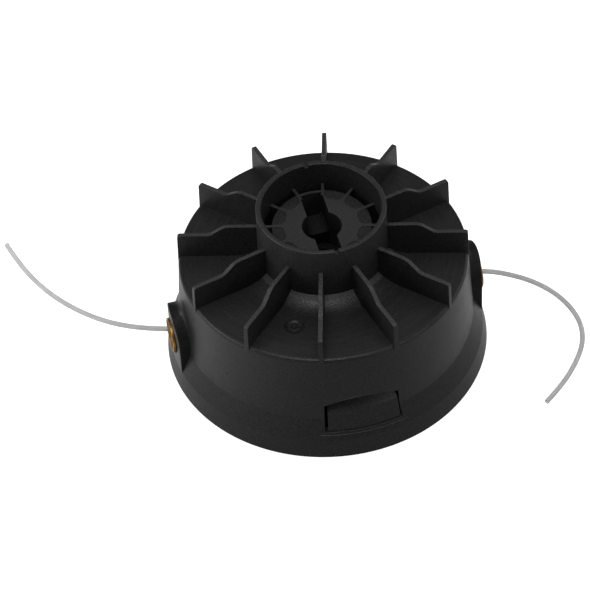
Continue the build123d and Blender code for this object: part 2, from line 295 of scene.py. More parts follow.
def add_turning_marks(tree, coords):
    """Streaks round the shaft axis, on faces that look straight up."""
    flat = tree.nodes.new("ShaderNodeVectorMath")
    flat.operation = "MULTIPLY"
    flat.inputs[1].default_value = (1.0, 1.0, 0.0)
    tree.links.new(coords.outputs["Object"], flat.inputs[0])
    radius = tree.nodes.new("ShaderNodeVectorMath")
    radius.operation = "LENGTH"
    tree.links.new(flat.outputs["Vector"], radius.inputs[0])
    around = tree.nodes.new("ShaderNodeVectorMath")
    around.operation = "NORMALIZE"
    tree.links.new(flat.outputs["Vector"], around.inputs[0])
    place = tree.nodes.new("ShaderNodeVectorMath")
    place.operation = "SCALE"
    place.inputs["Scale"].default_value = 4.0
    tree.links.new(around.outputs["Vector"], place.inputs[0])
    parts = tree.nodes.new("ShaderNodeSeparateXYZ")
    tree.links.new(place.outputs["Vector"], parts.inputs[0])
    joined = tree.nodes.new("ShaderNodeCombineXYZ")
    tree.links.new(parts.outputs["X"], joined.inputs["X"])
    tree.links.new(parts.outputs["Y"], joined.inputs["Y"])
    tree.links.new(add_math(tree, "MULTIPLY", radius.outputs["Value"], 1500.0), joined.inputs["Z"])
    streak = add_noise(tree, 1.0, 2.0, joined.outputs["Vector"])
    facing = tree.nodes.new("ShaderNodeSeparateXYZ")
    tree.links.new(coords.outputs["Normal"], facing.inputs[0])
    upward = add_math(tree, "GREATER_THAN", facing.outputs["Z"], 0.98)
    centred = add_math(tree, "SUBTRACT", streak.outputs["Fac"], 0.5)
    return add_math(tree, "MULTIPLY", centred, upward)


def make_grain_group():
    """Spark-eroded mould grain: a normal, a speckle mask, sparse specks and a slow blotch mask."""
    g = bpy.data.node_groups.new("mould_grain", "ShaderNodeTree")
    g.interface.new_socket("Scale", in_out="INPUT", socket_type="NodeSocketFloat")
    g.interface.new_socket("Depth", in_out="INPUT", socket_type="NodeSocketFloat")
    g.interface.new_socket("Marks", in_out="INPUT", socket_type="NodeSocketFloat")
    g.interface.new_socket("Normal", in_out="OUTPUT", socket_type="NodeSocketVector")
    g.interface.new_socket("Speckle", in_out="OUTPUT", socket_type="NodeSocketFloat")
    g.interface.new_socket("Specks", in_out="OUTPUT", socket_type="NodeSocketFloat")
    g.interface.new_socket("Blotch", in_out="OUTPUT", socket_type="NodeSocketFloat")
    start = g.nodes.new("NodeGroupInput")
    end = g.nodes.new("NodeGroupOutput")
    coords = g.nodes.new("ShaderNodeTexCoord")
    fine = add_noise(g, GRAIN_SCALE, 2.0, coords.outputs["Object"])
    g.links.new(start.outputs["Scale"], fine.inputs["Scale"])
    slow = add_noise(g, 70.0, 3.0, coords.outputs["Object"])
    dust = add_noise(g, 1500.0, 1.0, coords.outputs["Object"])
    specks = add_ramp(g, dust.outputs["Fac"], 0.74, 0.84, grey(0.0), grey(1.0))
    marks = add_turning_marks(g, coords)
    streaky = add_math(g, "MULTIPLY_ADD", marks, start.outputs["Marks"], fine.outputs["Fac"])
    bump = g.nodes.new("ShaderNodeBump")
    bump.inputs["Distance"].default_value = 0.0002
    g.links.new(start.outputs["Depth"], bump.inputs["Strength"])
    g.links.new(fine.outputs["Fac"], bump.inputs["Height"])
    g.links.new(bump.outputs["Normal"], end.inputs["Normal"])
    g.links.new(streaky, end.inputs["Speckle"])
    g.links.new(specks.outputs["Color"], end.inputs["Specks"])
    g.links.new(slow.outputs["Fac"], end.inputs["Blotch"])
    return g


grain_group = make_grain_group()


def make_plastic(name, tone, rough, specular, depth, marks=0.0, scale=GRAIN_SCALE):
    """Black moulded plastic with mould grain, speckled sheen and a few light specks."""
    m, tree, shader = new_material(name)
    grain = tree.nodes.new("ShaderNodeGroup")
    grain.node_tree = grain_group
    grain.inputs["Scale"].default_value = scale
    grain.inputs["Depth"].default_value = depth
    grain.inputs["Marks"].default_value = marks
    colour = add_ramp(
        tree, grain.outputs["Speckle"], 0.32, 0.68, grey(SPECKLE_DARK * tone), grey(SPECKLE_LIGHT * tone))
    bright = tree.nodes.new("ShaderNodeMix")
    bright.data_type = "RGBA"
    bright.inputs["B"].default_value = grey(SPECK_LIGHT * tone)
    tree.links.new(grain.outputs["Specks"], bright.inputs["Factor"])
    tree.links.new(colour.outputs["Color"], bright.inputs["A"])
    tree.links.new(bright.outputs["Result"], shader.inputs["Base Color"])
    sheen = add_ramp(
        tree, grain.outputs["Blotch"], 0.3, 0.7, grey(rough - 0.02), grey(rough + 0.08))
    matt = add_math(
        tree, "MULTIPLY_ADD", grain.outputs["Speckle"], -0.08, sheen.outputs["Color"])
    tree.links.new(matt, shader.inputs["Roughness"])
    tree.links.new(grain.outputs["Normal"], shader.inputs["Normal"])
    shader.inputs["Specular IOR Level"].default_value = specular
    return m


def make_brass(name, dark, light):
    """Turned brass, dulled and darker in patches."""
    m, tree, shader = new_material(name)
    coords = tree.nodes.new("ShaderNodeTexCoord")
    tarnish = add_noise(tree, 500.0, 4.0, coords.outputs["Object"])
    colour = add_ramp(tree, tarnish.outputs["Fac"], 0.35, 0.7, dark, light)
    tree.links.new(colour.outputs["Color"], shader.inputs["Base Color"])
    rough = add_ramp(tree, tarnish.outputs["Fac"], 0.3, 0.7, grey(0.5), grey(0.36))
    tree.links.new(rough.outputs["Color"], shader.inputs["Roughness"])
    marks = add_noise(tree, 2500.0, 2.0, coords.outputs["Object"])
    bump = tree.nodes.new("ShaderNodeBump")
    bump.inputs["Strength"].default_value = 0.4
    bump.inputs["Distance"].default_value = 0.0001
    tree.links.new(marks.outputs["Fac"], bump.inputs["Height"])
    tree.links.new(bump.outputs["Normal"], shader.inputs["Normal"])
    shader.inputs["Metallic"].default_value = 1.0
    return m


def make_nylon():
    """Clear grey monofilament, slightly cloudy."""
    m, tree, shader = new_material("nylon_line")
    coords = tree.nodes.new("ShaderNodeTexCoord")
    cloud = add_noise(tree, 180.0, 3.0, coords.outputs["Object"])
    dark, light = (0.385, 0.383, 0.376, 1), (0.425, 0.423, 0.416, 1)
    colour = add_ramp(tree, cloud.outputs["Fac"], 0.3, 0.7, dark, light)
    tree.links.new(colour.outputs["Color"], shader.inputs["Base Color"])
    rough = add_ramp(tree, cloud.outputs["Fac"], 0.3, 0.7, grey(0.3), grey(0.4))
    tree.links.new(rough.outputs["Color"], shader.inputs["Roughness"])
    shader.inputs["Specular IOR Level"].default_value = 0.3
    shader.inputs["Transmission Weight"].default_value = 0.8
    shader.inputs["IOR"].default_value = 1.12
    return m


def make_steel():
    """Drawn wire and strip."""
    m, tree, shader = new_material("spring_steel")
    coords = tree.nodes.new("ShaderNodeTexCoord")
    drawn = add_noise(tree, 900.0, 3.0, coords.outputs["Object"])
    colour = add_ramp(tree, drawn.outputs["Fac"], 0.3, 0.7, grey(0.42), grey(0.58))
    tree.links.new(colour.outputs["Color"], shader.inputs["Base Color"])
    rough = add_ramp(tree, drawn.outputs["Fac"], 0.3, 0.7, grey(0.3), grey(0.42))
    tree.links.new(rough.outputs["Color"], shader.inputs["Roughness"])
    shader.inputs["Metallic"].default_value = 1.0
    return m


black = make_plastic("black_plastic", 0.008, 0.34, 0.1, 0.42, 0.35)
# Painted light: a lighter copy of the housing plastic for the hub top and the spoke tops.
lit_hub_black = make_plastic("lit_hub_plastic", 0.013, 0.45, 0.13, 0.2)
# Painted shade: a darker copy of the plastic for the floors of the shallow hub ledges.
shaded_ledge_black = make_plastic("shaded_ledge_plastic", 0.009, 0.5, 0.07, 0.2)
# Painted shade: a near-black copy of the plastic for the deep bore below the drive slot.
shaded_bore_black = make_plastic("shaded_bore_plastic", 0.003, 0.6, 0.02, 0.2)
# Painted shade: a darker copy of the plastic for the rounded floor of the drive slot.
shaded_slot_black = make_plastic("shaded_slot_plastic", 0.006, 0.45, 0.05, 0.2)
# Painted highlight: a lighter copy of the plastic for the upward faces of the fins and the cove, and for
# the raised lines at the windows.
highlight_black = make_plastic("highlight_plastic", 0.016, 0.5, 0.13, 0.4)
# Painted shade: a darker copy of the plastic for the sides of the line bosses and their eyelet holes.
shaded_side_black = make_plastic("shaded_side_plastic", 0.006, 0.5, 0.04, 0.3)
# Painted light: a lighter copy of the plastic for the collar's wall and rim.
lit_collar_black = make_plastic("lit_collar_plastic", 0.0105, 0.4, 0.115, 0.3)
spool_black = make_plastic("spool_plastic", 0.015, 0.4, 0.3, 0.15, scale=1800.0)
knob_black = make_plastic("knob_plastic", 0.014, 0.5, 0.2, 0.4, scale=2200.0)
brass = make_brass("brass", (0.17, 0.085, 0.014, 1), (0.33, 0.17, 0.035, 1))
# Painted shade: a darker copy of the brass for inside the eyelet's mouth.
shaded_brass = make_brass("shaded_brass", (0.045, 0.03, 0.011, 1), (0.12, 0.08, 0.032, 1))
nylon = make_nylon()
steel = make_steel()


# Housing

def wall_r(z):
    """Outer radius of the housing wall above the lower band."""
    if z < CONE_Z:
        return CONE_R + (CONE_Z - z) * (BAND_R - CONE_R) / (CONE_Z - BAND_Z)
    return CONE_R - (z - CONE_Z) * (CONE_R - TOP_R) / (PLATE_Z - CONE_Z)


def housing_profile():
    """Section of the housing from the rim round its outside, collar, hub, bore and inside.

    Points without a radius on a straight run bound the faces that the cutters touch.
    """
    cove = [math.radians(4.6 * k) for k in range(9)]
    return rounded([
        (RIM_BORE_R, -RIM_DROP, 0.2),
        (RIM_R, -RIM_DROP, 0.3),
        (BAND_R, BAND_Z, 0.4),
        (wall_r(8.0), 8.0),
        (CONE_R, CONE_Z, 1.2),
        (wall_r(22.3), 22.3),
        (wall_r(27.0), 27.0),
        (wall_r(STEP_Z), STEP_Z),
        (wall_r(STEP_Z) + 0.05, STEP_Z + 0.06),
        (TOP_R + 0.05, PLATE_Z, 1.3),
        (36.0, PLATE_Z),
        (FOOT_R + 0.4, PLATE_Z),
        *[
            (FOOT_R - COVE_R * math.sin(a), PLATE_Z + COVE_R * (1 - math.cos(a)))
            for a in cove
        ],
        (COLLAR_TOP_R, COLLAR_Z - 2.0),
        (COLLAR_TOP_R, COLLAR_Z, 0.42),
        (COLLAR_BORE_R, COLLAR_Z, 0.42),
        (COLLAR_BORE_R, COLLAR_Z - 2.0),
        (COLLAR_BORE_R, PLATE_Z, 0.4),
        (HUB_R, PLATE_Z, 0.4),
        (HUB_R, HUB_Z - 1.0),
        (HUB_R, HUB_Z, 0.2),
        (BORE_R, HUB_Z, 0.2),
        (BORE_R, BORE_STEP_Z, 0.2),
        (SHAFT_R, BORE_STEP_Z, 0.3),
        (SHAFT_R, SPINDLE_Z, 0.4),
        (SPINDLE_R, SPINDLE_Z, 1.0),
        (SPINDLE_R, CEILING_Z, 0.6),
        (CEILING_R, CEILING_Z, 0.6),
        (wall_r(22.0) - 2.2, 22.0),
        (45.3, 13.4),
        (BAND_BORE_R, BAND_Z),
        (BAND_BORE_R, 2.5),
        (RIM_BORE_R, 2.5),
    ])


def window_top(a):
    """Height of a window's arched top at an angle from its middle."""
    across = wall_r(WINDOW_ARCH_Z) * math.sin(a)
    return WINDOW_ARCH_Z - WINDOW_ARCH_R + math.sqrt(WINDOW_ARCH_R ** 2 - across ** 2)


def add_window(bm, half_turn):
    """Cutter for a latch window, with radial sides and an arched top."""
    one = bmesh.new()
    inner, outer, top = 43.0, 56.0, WINDOW_Z + 1.0
    section = [(inner, WINDOW_Z), (outer, WINDOW_Z), (outer, top), (inner, top)]
    lathe(one, section, 24, -90 - WINDOW_HALF_ANGLE, 2 * WINDOW_HALF_ANGLE)
    for v in one.verts:
        if v.co.z > WINDOW_Z + 0.5:
            v.co.z = window_top(math.atan2(v.co.x, -v.co.y))
    bmesh.ops.transform(one, matrix=spin(half_turn), verts=one.verts)
    append(bm, one)


def add_cylinder(bm, radius, low, high, segments, matrix):
    turns = [2 * math.pi * k / segments for k in range(segments)]
    outline = [(radius * math.cos(a), radius * math.sin(a)) for a in turns]
    verts = prism(bm, outline, low, high)
    move(verts, matrix)


def eyelet_axis(half_turn):
    """From a Z axis at the origin to the eyelet's axis on the given side."""
    lie = Matrix.Translation((0, 0, EYELET_Z)) @ Matrix.Rotation(math.pi / 2, 4, "Y")
    return spin(half_turn) @ lie


def add_drive_slot(bm):
    """Cutter for the drive slot, a trough with a rounded bottom and round ends."""
    low, high = HUB_Z - SLOT_DEPTH, HUB_Z + 1.0
    section = rounded([
        (-SLOT_HALF, high), (-SLOT_HALF, low, SLOT_ROUND),
        (SLOT_HALF, low, SLOT_ROUND), (SLOT_HALF, high),
    ], 7, 0.0)
    trough = bmesh.new()
    extrude(trough, [(x, -SLOT_R - 1.0, z) for x, z in section], (0, 2 * SLOT_R + 2.0, 0))
    ends = bmesh.new()
    add_cylinder(ends, SLOT_R, low - 1.0, high + 1.0, 144, Matrix.Identity(4))
    append(bm, combine(trough, ends, "INTERSECT"))


def add_hub_ledges(bm):
    """Shallow scalloped ledges between the spokes, except beside the slot's ends."""
    inner, outer, strip = LEDGE_R, 16.4, 0.6
    pitch, corner = 360.0 / FIN_COUNT, 1.9
    slope = math.tan(math.radians(pitch / 2))
    near, far = inner * slope - strip, outer * slope - strip
    outline = rounded(
        [(outer, -far), (outer, far), (inner, near, corner), (inner, -near, corner)], 6, 0.0)
    for k in range(FIN_COUNT):
        angle = FIN_FIRST + pitch * (k + 0.5)
        beside_slot = abs(math.sin(math.radians(angle))) > 0.99
        if not beside_slot:
            verts = prism(bm, outline, HUB_Z - LEDGE_DEPTH, HUB_Z + 1.0)
            move(verts, spin(angle))


def add_gate(bm):
    """Cutter for the bowl of the gate mark."""
    profile = rounded([
        (0.0, 2.0), (0.0, -0.5), (2.3, -GATE_DEPTH, 1.6), (GATE_R, 0.0), (GATE_R, 2.0),
    ], 4, 0.0)
    one = bmesh.new()
    lathe(one, profile, 40)
    bmesh.ops.remove_doubles(one, verts=one.verts, dist=1e-5)
    bmesh.ops.transform(one, matrix=gate_place(), verts=one.verts)
    append(bm, one)


def gate_place():
    """From the origin to the gate mark on the plate."""
    return spin(GATE_ANGLE) @ Matrix.Translation((GATE_RADIUS, 0, PLATE_Z))


def housing_cutters():
    """All cutters of the housing in one mesh."""
    bm = bmesh.new()
    near, far = -22.0, -17.0
    notch = [(-NOTCH_HALF, near), (NOTCH_HALF, near), (NOTCH_HALF, far), (-NOTCH_HALF, far)]
    for half_turn in (0, 180):
        add_window(bm, half_turn)
        add_cylinder(bm, EYELET_BORE_R, 42.0, 49.0, 48, eyelet_axis(half_turn))
        verts = prism(bm, notch, COLLAR_Z - NOTCH_DEPTH, COLLAR_Z + 1.0)
        move(verts, spin(half_turn))
    add_drive_slot(bm)
    add_hub_ledges(bm)
    add_gate(bm)
    return bm


def add_fin(bm):
    """Drafted fin with rounded corners, let into the plate, the collar and the wall."""
    outline = rounded([
        (FIN_ROOT_R, FIN_FOOT_Z), (FIN_END_R + 0.36, FIN_FOOT_Z), (FIN_END_R, FIN_LOW_Z, 0.8),
        (FIN_KNEE_R, FIN_LOW_Z, 4.0), (FIN_NECK_R, FIN_HIGH_Z, 4.0), (FIN_ROOT_R, FIN_HIGH_Z),
    ], 6, 0.0)
    extrude(bm, [(x, -1.0, z) for x, z in outline], (0, 2, 0))
    for v in bm.verts:
        t = min(max((v.co.z - PLATE_Z) / (FIN_HIGH_Z - PLATE_Z), 0.0), 1.0)
        v.co.y *= FIN_FOOT_HALF + (FIN_TOP_HALF - FIN_FOOT_HALF) * t
    rim = []
    for e in bm.edges:
        a, b = e.verts[0].co, e.verts[1].co
        above_foot = max(a.z, b.z) > FIN_FOOT_Z + 0.1
        past_root = max(a.x, b.x) > FIN_ROOT_R + 0.1
        if a.y * b.y > 0 and above_foot and past_root:
            rim.append(e)
    soften(bm, rim, 0.4, 5)


def add_spoke(bm):
    """Thin spoke between the hub and the collar."""
    verts = prism(bm, [
        (SPOKE_ROOT_R, -SPOKE_HALF), (SPOKE_END_R, -SPOKE_HALF),
        (SPOKE_END_R, SPOKE_HALF), (SPOKE_ROOT_R, SPOKE_HALF),
    ], 38.0, HUB_Z - 0.01)
    top = {e for v in verts for e in v.link_edges if all(w.co.z > 50 for w in e.verts)}
    along = [e for e in top if abs(e.verts[0].co.y - e.verts[1].co.y) < 0.01]
    soften(bm, along, 0.15)


def add_all_round(bm, build):
    """Build one blade and repeat it round the axis."""
    one = bmesh.new()
    build(one)
    bmesh.ops.transform(one, matrix=spin(FIN_FIRST), verts=one.verts)
    step = 2 * math.pi / FIN_COUNT
    bmesh.ops.spin(
        one, geom=one.verts[:] + one.edges[:] + one.faces[:], cent=(0, 0, 0), axis=(0, 0, 1),
        angle=step * (FIN_COUNT - 1), steps=FIN_COUNT - 1, use_duplicate=True)
    append(bm, one)


def arch_point(t):
    """Point and outward direction on the boss outline, from one foot over the arch to the other."""
    straight = BOSS_ARCH_Z - BOSS_FOOT_Z
    length = 2 * straight + math.pi * BOSS_HALF
    s = t * length
    if s < straight:
        return (BOSS_HALF, BOSS_FOOT_Z + s), (1.0, 0.0)
    if s > length - straight:
        return (-BOSS_HALF, BOSS_FOOT_Z + length - s), (-1.0, 0.0)
    a = (s - straight) / BOSS_HALF
    out = (math.cos(a), math.sin(a))
    return (BOSS_HALF * out[0], BOSS_ARCH_Z + BOSS_HALF * out[1]), out


def outward_x(radius, y):
    """Distance along X to a round wall, at a place across it."""
    return math.sqrt(radius ** 2 - y ** 2)


def boss_section(point, normal):
    """Run from the wall up the cove, over the rounded edge, across the face and into the bore."""
    (y, z), (ny, nz) = point, normal
    face_x = outward_x(BOSS_R, y)
    depth = max(face_x - outward_x(wall_r(z), y), 0.1)
    cove = min(0.15 + 3.0 * max(nz, 0.0) ** 4, 0.7 * depth)
    edge = min(0.4, 0.25 * depth)
    run = []
    for i in range(9):
        a = math.pi / 2 * i / 8
        py, pz = y + ny * cove * (1 - math.sin(a)), z + nz * cove * (1 - math.sin(a))
        foot_x = min(outward_x(wall_r(pz), py) - 0.03, face_x - 0.1)
        run.append((foot_x + cove * (1 - math.cos(a)), py, pz))
    for i in range(7):
        a = math.pi / 2 * i / 6
        py, pz = y - ny * edge * (1 - math.cos(a)), z - nz * edge * (1 - math.cos(a))
        run.append((outward_x(BOSS_R, py) - edge * (1 - math.sin(a)), py, pz))
    (ey, ez), reach = run[-1][1:], math.hypot(y, z - EYELET_Z)
    cy, cz = y / reach, (z - EYELET_Z) / reach
    mouth_r, seat_r, bore_r = 6.0, 5.95, 3.95
    for i in range(1, 8):
        t = i / 7
        py, pz = ey + (mouth_r * cy - ey) * t, ez + (EYELET_Z + mouth_r * cz - ez) * t
        run.append((outward_x(BOSS_R, py), py, pz))
    seat_x, bore_x = EYELET_SEAT_X - 0.1, 44.0
    for r, x in ((seat_r, seat_x), (bore_r, seat_x), (bore_r, bore_x)):
        run.append((x, r * cy, EYELET_Z + r * cz))
    return run


def line_boss():
    """Arched boss that grows out of the wall, with a seat and a bore for the eyelet."""
    bm = bmesh.new()
    rows = [boss_section(*arch_point(k / 120)) for k in range(121)]
    foot = [(BOSS_HALF * (k / 12 - 1), BOSS_FOOT_Z) for k in range(1, 24)]
    rows += [boss_section(p, (0.0, -1.0)) for p in foot]
    chains = []
    for row in rows:
        verts = [bm.verts.new(p) for p in row]
        chains.append([bm.edges.new(pair) for pair in zip(verts, verts[1:])])
    for one, two in zip(chains, chains[1:] + chains[:1]):
        bmesh.ops.bridge_loops(bm, edges=one + two)
    return bm


def gate_nub(bm):
    """Torn sprue stub in the middle of the gate mark."""
    one = bmesh.new()
    profile = [(0.16, -0.9), (0.72, -0.9), (0.55, -0.14, 0.12), (0.16, -0.3, 0.05)]
    lathe(one, rounded(profile, 3, 0.0), 20)
    bmesh.ops.transform(one, matrix=gate_place(), verts=one.verts)
    append(bm, one)


def cut_edges(bm):
    """Rims of the windows, and rims of the slot and the ledges."""
    windows, hub = [], []
    for e in sharp_edges(bm, 50.0):
        middle = (e.verts[0].co + e.verts[1].co) / 2
        plan = math.hypot(middle.x, middle.y)
        at_window = abs(middle.y) > 40 and WINDOW_Z - 0.5 < middle.z < WINDOW_ARCH_Z + 0.5
        if at_window and plan > 45.6:
            windows.append(e)
        elif plan < HUB_R - 0.3 and middle.z > HUB_Z - 0.1:
            hub.append(e)
    return windows, hub


def add_lip(bm, half_turn, half_angle, height, thick):
    """Fine raised line on the wall beside a latch window, left by the mould's slide."""
    one = bmesh.new()
    turns = [math.pi * k / 4 for k in range(8)]
    section = [(CONE_R + thick * math.cos(b), thick * math.sin(b)) for b in turns]
    lathe(one, section, 40, -90 - half_angle, 2 * half_angle)
    for v in one.verts:
        a, r = math.atan2(v.co.x, -v.co.y), math.hypot(v.co.x, v.co.y)
        z = height(a)
        scale = (wall_r(z) - 0.4 * thick + r - CONE_R) / r
        v.co = (v.co.x * scale, v.co.y * scale, v.co.z + z)
    bmesh.ops.transform(one, matrix=spin(half_turn), verts=one.verts)
    append(bm, one)


def add_scar(bm):
    """Small knock on the wall, with the burr that it threw up."""
    one = bmesh.new()
    bmesh.ops.create_uvsphere(one, u_segments=16, v_segments=8, radius=1.0)
    angle, height, tilt = 214.6, 21.5, 0.5
    size = Matrix.Diagonal((0.22, 0.75, 0.3, 1.0))
    place = spin(angle) @ Matrix.Translation((wall_r(height) - 0.04, 0, height))
    bmesh.ops.transform(one, matrix=size, verts=one.verts)
    bmesh.ops.transform(one, matrix=place @ Matrix.Rotation(tilt, 4, "X"), verts=one.verts)
    append(bm, one)


# Indices of the plain plastic and of its copies that paint light (hub, edge, collar) and shade (ledge,
# bore, side, slot).
PLAIN, HUB, LEDGE, BORE, EDGE, SIDE, SLOT, COLLAR = range(8)


def housing_painted_tone(p):
    """Index of the plastic for one face of the housing: plain, a lighter copy as painted light, or a
    darker copy as painted shade.
    """
    x, y, z = p.center.x / MM, p.center.y / MM, p.center.z / MM - RIM
    plan = math.hypot(x, y)
    if plan < COLLAR_BORE_R - 0.4 and z > HUB_Z - 0.5:
        on_ledge = p.normal.z > 0.99 and abs(z - HUB_Z + LEDGE_DEPTH) < 0.02
        return LEDGE if on_ledge else HUB
    slot_z = HUB_Z - SLOT_DEPTH
    if plan < SLOT_R and p.normal.z > 0.05 and slot_z - 0.3 < z < slot_z + SLOT_ROUND:
        return SLOT
    if plan < SLOT_R and z < slot_z + 0.05:
        return BORE
    if plan > COLLAR_R + 0.2 and z > PLATE_Z + 1.5 and p.normal.z > 0.25:
        return EDGE
    if COLLAR_BORE_R + 0.5 < plan < COLLAR_R + 0.1 and z > 41.5:
        return COLLAR
    if abs(y) > 40 and 7.2 < z < WINDOW_ARCH_Z + 0.6 and plan > wall_r(z) + 0.02:
        return EDGE
    if abs(x) > 45 and abs(y) < 12 and z < 30 and abs(p.normal.x) < 0.6:
        return SIDE
    return PLAIN


def build_housing():
    bm = bmesh.new()
    lathe(bm, housing_profile(), 240)
    bm = combine(bm, housing_cutters(), "DIFFERENCE")
    soften(bm, cut_edges(bm)[0], 0.25, 3)
    soften(bm, cut_edges(bm)[1], 0.1)
    add_all_round(bm, add_fin)
    add_all_round(bm, add_spoke)
    sill_half_angle, sill_z = 16.5, WINDOW_Z - 0.9
    for half_turn in (0, 180):
        boss = line_boss()
        bmesh.ops.transform(boss, matrix=spin(half_turn), verts=boss.verts)
        append(bm, boss)
        add_lip(bm, half_turn, WINDOW_HALF_ANGLE, lambda a: window_top(a) + 0.2, 0.2)
        add_lip(bm, half_turn, sill_half_angle, lambda a: sill_z, 0.13)
    gate_nub(bm)
    add_scar(bm)
    mesh = finish_mesh(bm, "housing_body")
    for p in mesh.polygons:
        p.material_index = housing_painted_tone(p)
    return mesh


add_piece(
    "housing_body", build_housing(), "housing",
    [black, lit_hub_black, shaded_ledge_black, shaded_bore_black, highlight_black, shaded_side_black, shaded_slot_black, lit_collar_black],
    "black_plastic", "housing",
)


# Lower cover with its latch arms

def build_cover():
    """Ring with six index lugs, and two latch arms that end in the window tabs."""
    bm = bmesh.new()
    lathe(bm, rounded([
        (20.0, -0.6, 0.2), (21.7, -0.6, 0.3), (22.2, 0.0, 0.2), (48.4, 0.0, 0.4), (48.9, 0.5, 0.3),
        (48.9, 2.2, 0.3), (22.2, 2.2), (22.2, 3.6, 0.3), (20.0, 3.6, 0.3),
    ], 4), 192)
    inner, outer, low, high = 24.0, 30.0, 1.2, 5.2
    lug_section = [(inner, low), (outer, low), (outer, high), (inner, high)]
    first, pitch, wide = -33.0, 60.0, 12.0
    for k in range(6):
        lug = bmesh.new()
        lathe(lug, lug_section, 6, first + pitch * k, wide)
        append(bm, lug)
    for half_turn in (0, 180):
        arm = bmesh.new()
        lathe(arm, rounded([
            (44.57, 1.2), (46.57, 1.2), (46.57, 8.9), (49.02, 8.9, 0.12), (47.12, 15.8, 0.25),
            (44.2, 19.0), (44.2, 22.6, 0.3), (42.6, 22.6, 0.3), (42.6, 19.0), (44.57, 15.8),
        ], 3, 0.0), 28, -90 - TAB_HALF_ANGLE + TAB_LASH + half_turn, 2 * TAB_HALF_ANGLE)
        bmesh.ops.recalc_face_normals(arm, faces=arm.faces)
        ends = [e for e in sharp_edges(arm, 60.0) if any(len(f.verts) > 6 for f in e.link_faces)]
        soften(arm, ends, 0.12)
        append(bm, arm)
    return finish_mesh(bm, "lower_cover")


add_piece("lower_cover", build_cover(), "housing", black, "black_plastic", "cover")


# Brass eyelets

def build_eyelet(half_turn):
    """Flanged ring with a funnel mouth, with painted shade inside the mouth."""
    face, flange, seat, back = EYELET_FACE_X, EYELET_FACE_X - 0.85, EYELET_SEAT_X - 0.1, 44.2
    throat_r, tube_r, neck_r = 3.0, 3.9, 4.9
    bm = bmesh.new()
    lathe(bm, rounded([
        (3.5, back), (tube_r, back), (tube_r, seat), (neck_r, seat), (neck_r, flange),
        (EYELET_RIM_R, flange, 0.15), (EYELET_RIM_R, face, 0.35), (5.1, face, 0.2),
        (throat_r, face - 1.6, 1.2), (throat_r, back + 0.6, 0.3),
    ], 6, 0.0), 72)
    bmesh.ops.transform(bm, matrix=eyelet_axis(half_turn), verts=bm.verts)
    mesh = finish_mesh(bm, "eyelet")
    # Faces inside the mouth take the darker brass, as painted shade.
    for p in mesh.polygons:
        plan = math.hypot(p.center.y / MM, p.center.z / MM - RIM - EYELET_Z)
        p.material_index = 1 if plan < EYELET_SHADE_R else 0
    return mesh


eyelet_brass_and_shade = [brass, shaded_brass]
add_piece("brass_eyelet_right", build_eyelet(0), "housing", eyelet_brass_and_shade, "brass", "eyelet_right")
add_piece("brass_eyelet_left", build_eyelet(180), "housing", eyelet_brass_and_shade, "brass", "eyelet_left")


# Bump knob

def build_knob():
    """Cup-shaped knob with flutes round its lower edge."""
    bm = bmesh.new()
    lip_z, floor_z, base_z = 5.6, -4.0, -RIM
    profile = rounded([
        (0.0, base_z), (16.8, base_z, 1.2), (KNOB_R, -4.6, 2.0), (KNOB_R, FLUTE_TOP_Z),
        (KNOB_R, lip_z, 0.2), (KNOB_TUBE_R, lip_z, 0.2), (KNOB_TUBE_R, floor_z, 0.6), (0.0, floor_z),
    ], 5)
    lathe(bm, profile, 240)
    for v in bm.verts:
        r = math.hypot(v.co.x, v.co.y)
        phase = math.atan2(v.co.y, v.co.x) * FLUTE_COUNT / (2 * math.pi)
        across = abs((phase + 0.5) % 1.0 - 0.5) * 2 * math.pi * KNOB_R / (2 * FLUTE_COUNT)
        bite = max(0.0, FLUTE_DEPTH - across ** 2 / 6.8)
        fade = min(max((FLUTE_TOP_Z - v.co.z) / 1.2, 0.0), 1.0)
        if fade > 0 and r > KNOB_TUBE_R + 0.05:
            scale = (r - bite * fade) / r
            v.co.x *= scale
            v.co.y *= scale
    bmesh.ops.remove_doubles(bm, verts=bm.verts, dist=1e-4)
    return finish_mesh(bm, "tap_knob")


add_piece("tap_knob", build_knob(), "spool", knob_black, "knob_plastic", "bump_knob")


# Feed spring between the washer and the housing, built at one length; the real spring shortens when the
# knob is pressed

def build_spring(low):
    """Coil of round wire, screwed up about Z from the washer to the housing's ceiling."""
    bm = bmesh.new()
    steps_per_coil = 48
    steps = round(SPRING_COILS * steps_per_coil)
    wire = bmesh.ops.create_circle(bm, cap_ends=True, segments=14, radius=WIRE_R)["verts"]
    upright = Matrix.Rotation(math.radians(90), 4, "X")
    move(wire, Matrix.Translation((SPRING_R, 0, low + WIRE_R)) @ upright)
    rise = (CEILING_Z - low - 2 * WIRE_R) / steps
    bmesh.ops.spin(
        bm, geom=bm.verts[:] + bm.edges[:] + bm.faces[:], cent=(0, 0, 0), axis=(0, 0, 1),
        dvec=(0, 0, rise), angle=math.radians(360 * SPRING_COILS), steps=steps)
    return finish_mesh(bm, "feed_coil", smooth=35.0)


spring_low, spring_high = (corner[2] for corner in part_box("feed_spring"))
spring = add_piece(
    "feed_coil", build_spring(spring_low / MM - RIM), "housing", steel, "steel", "feed_spring")
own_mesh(spring)


# Free ends of the line, with the route points of the part's source

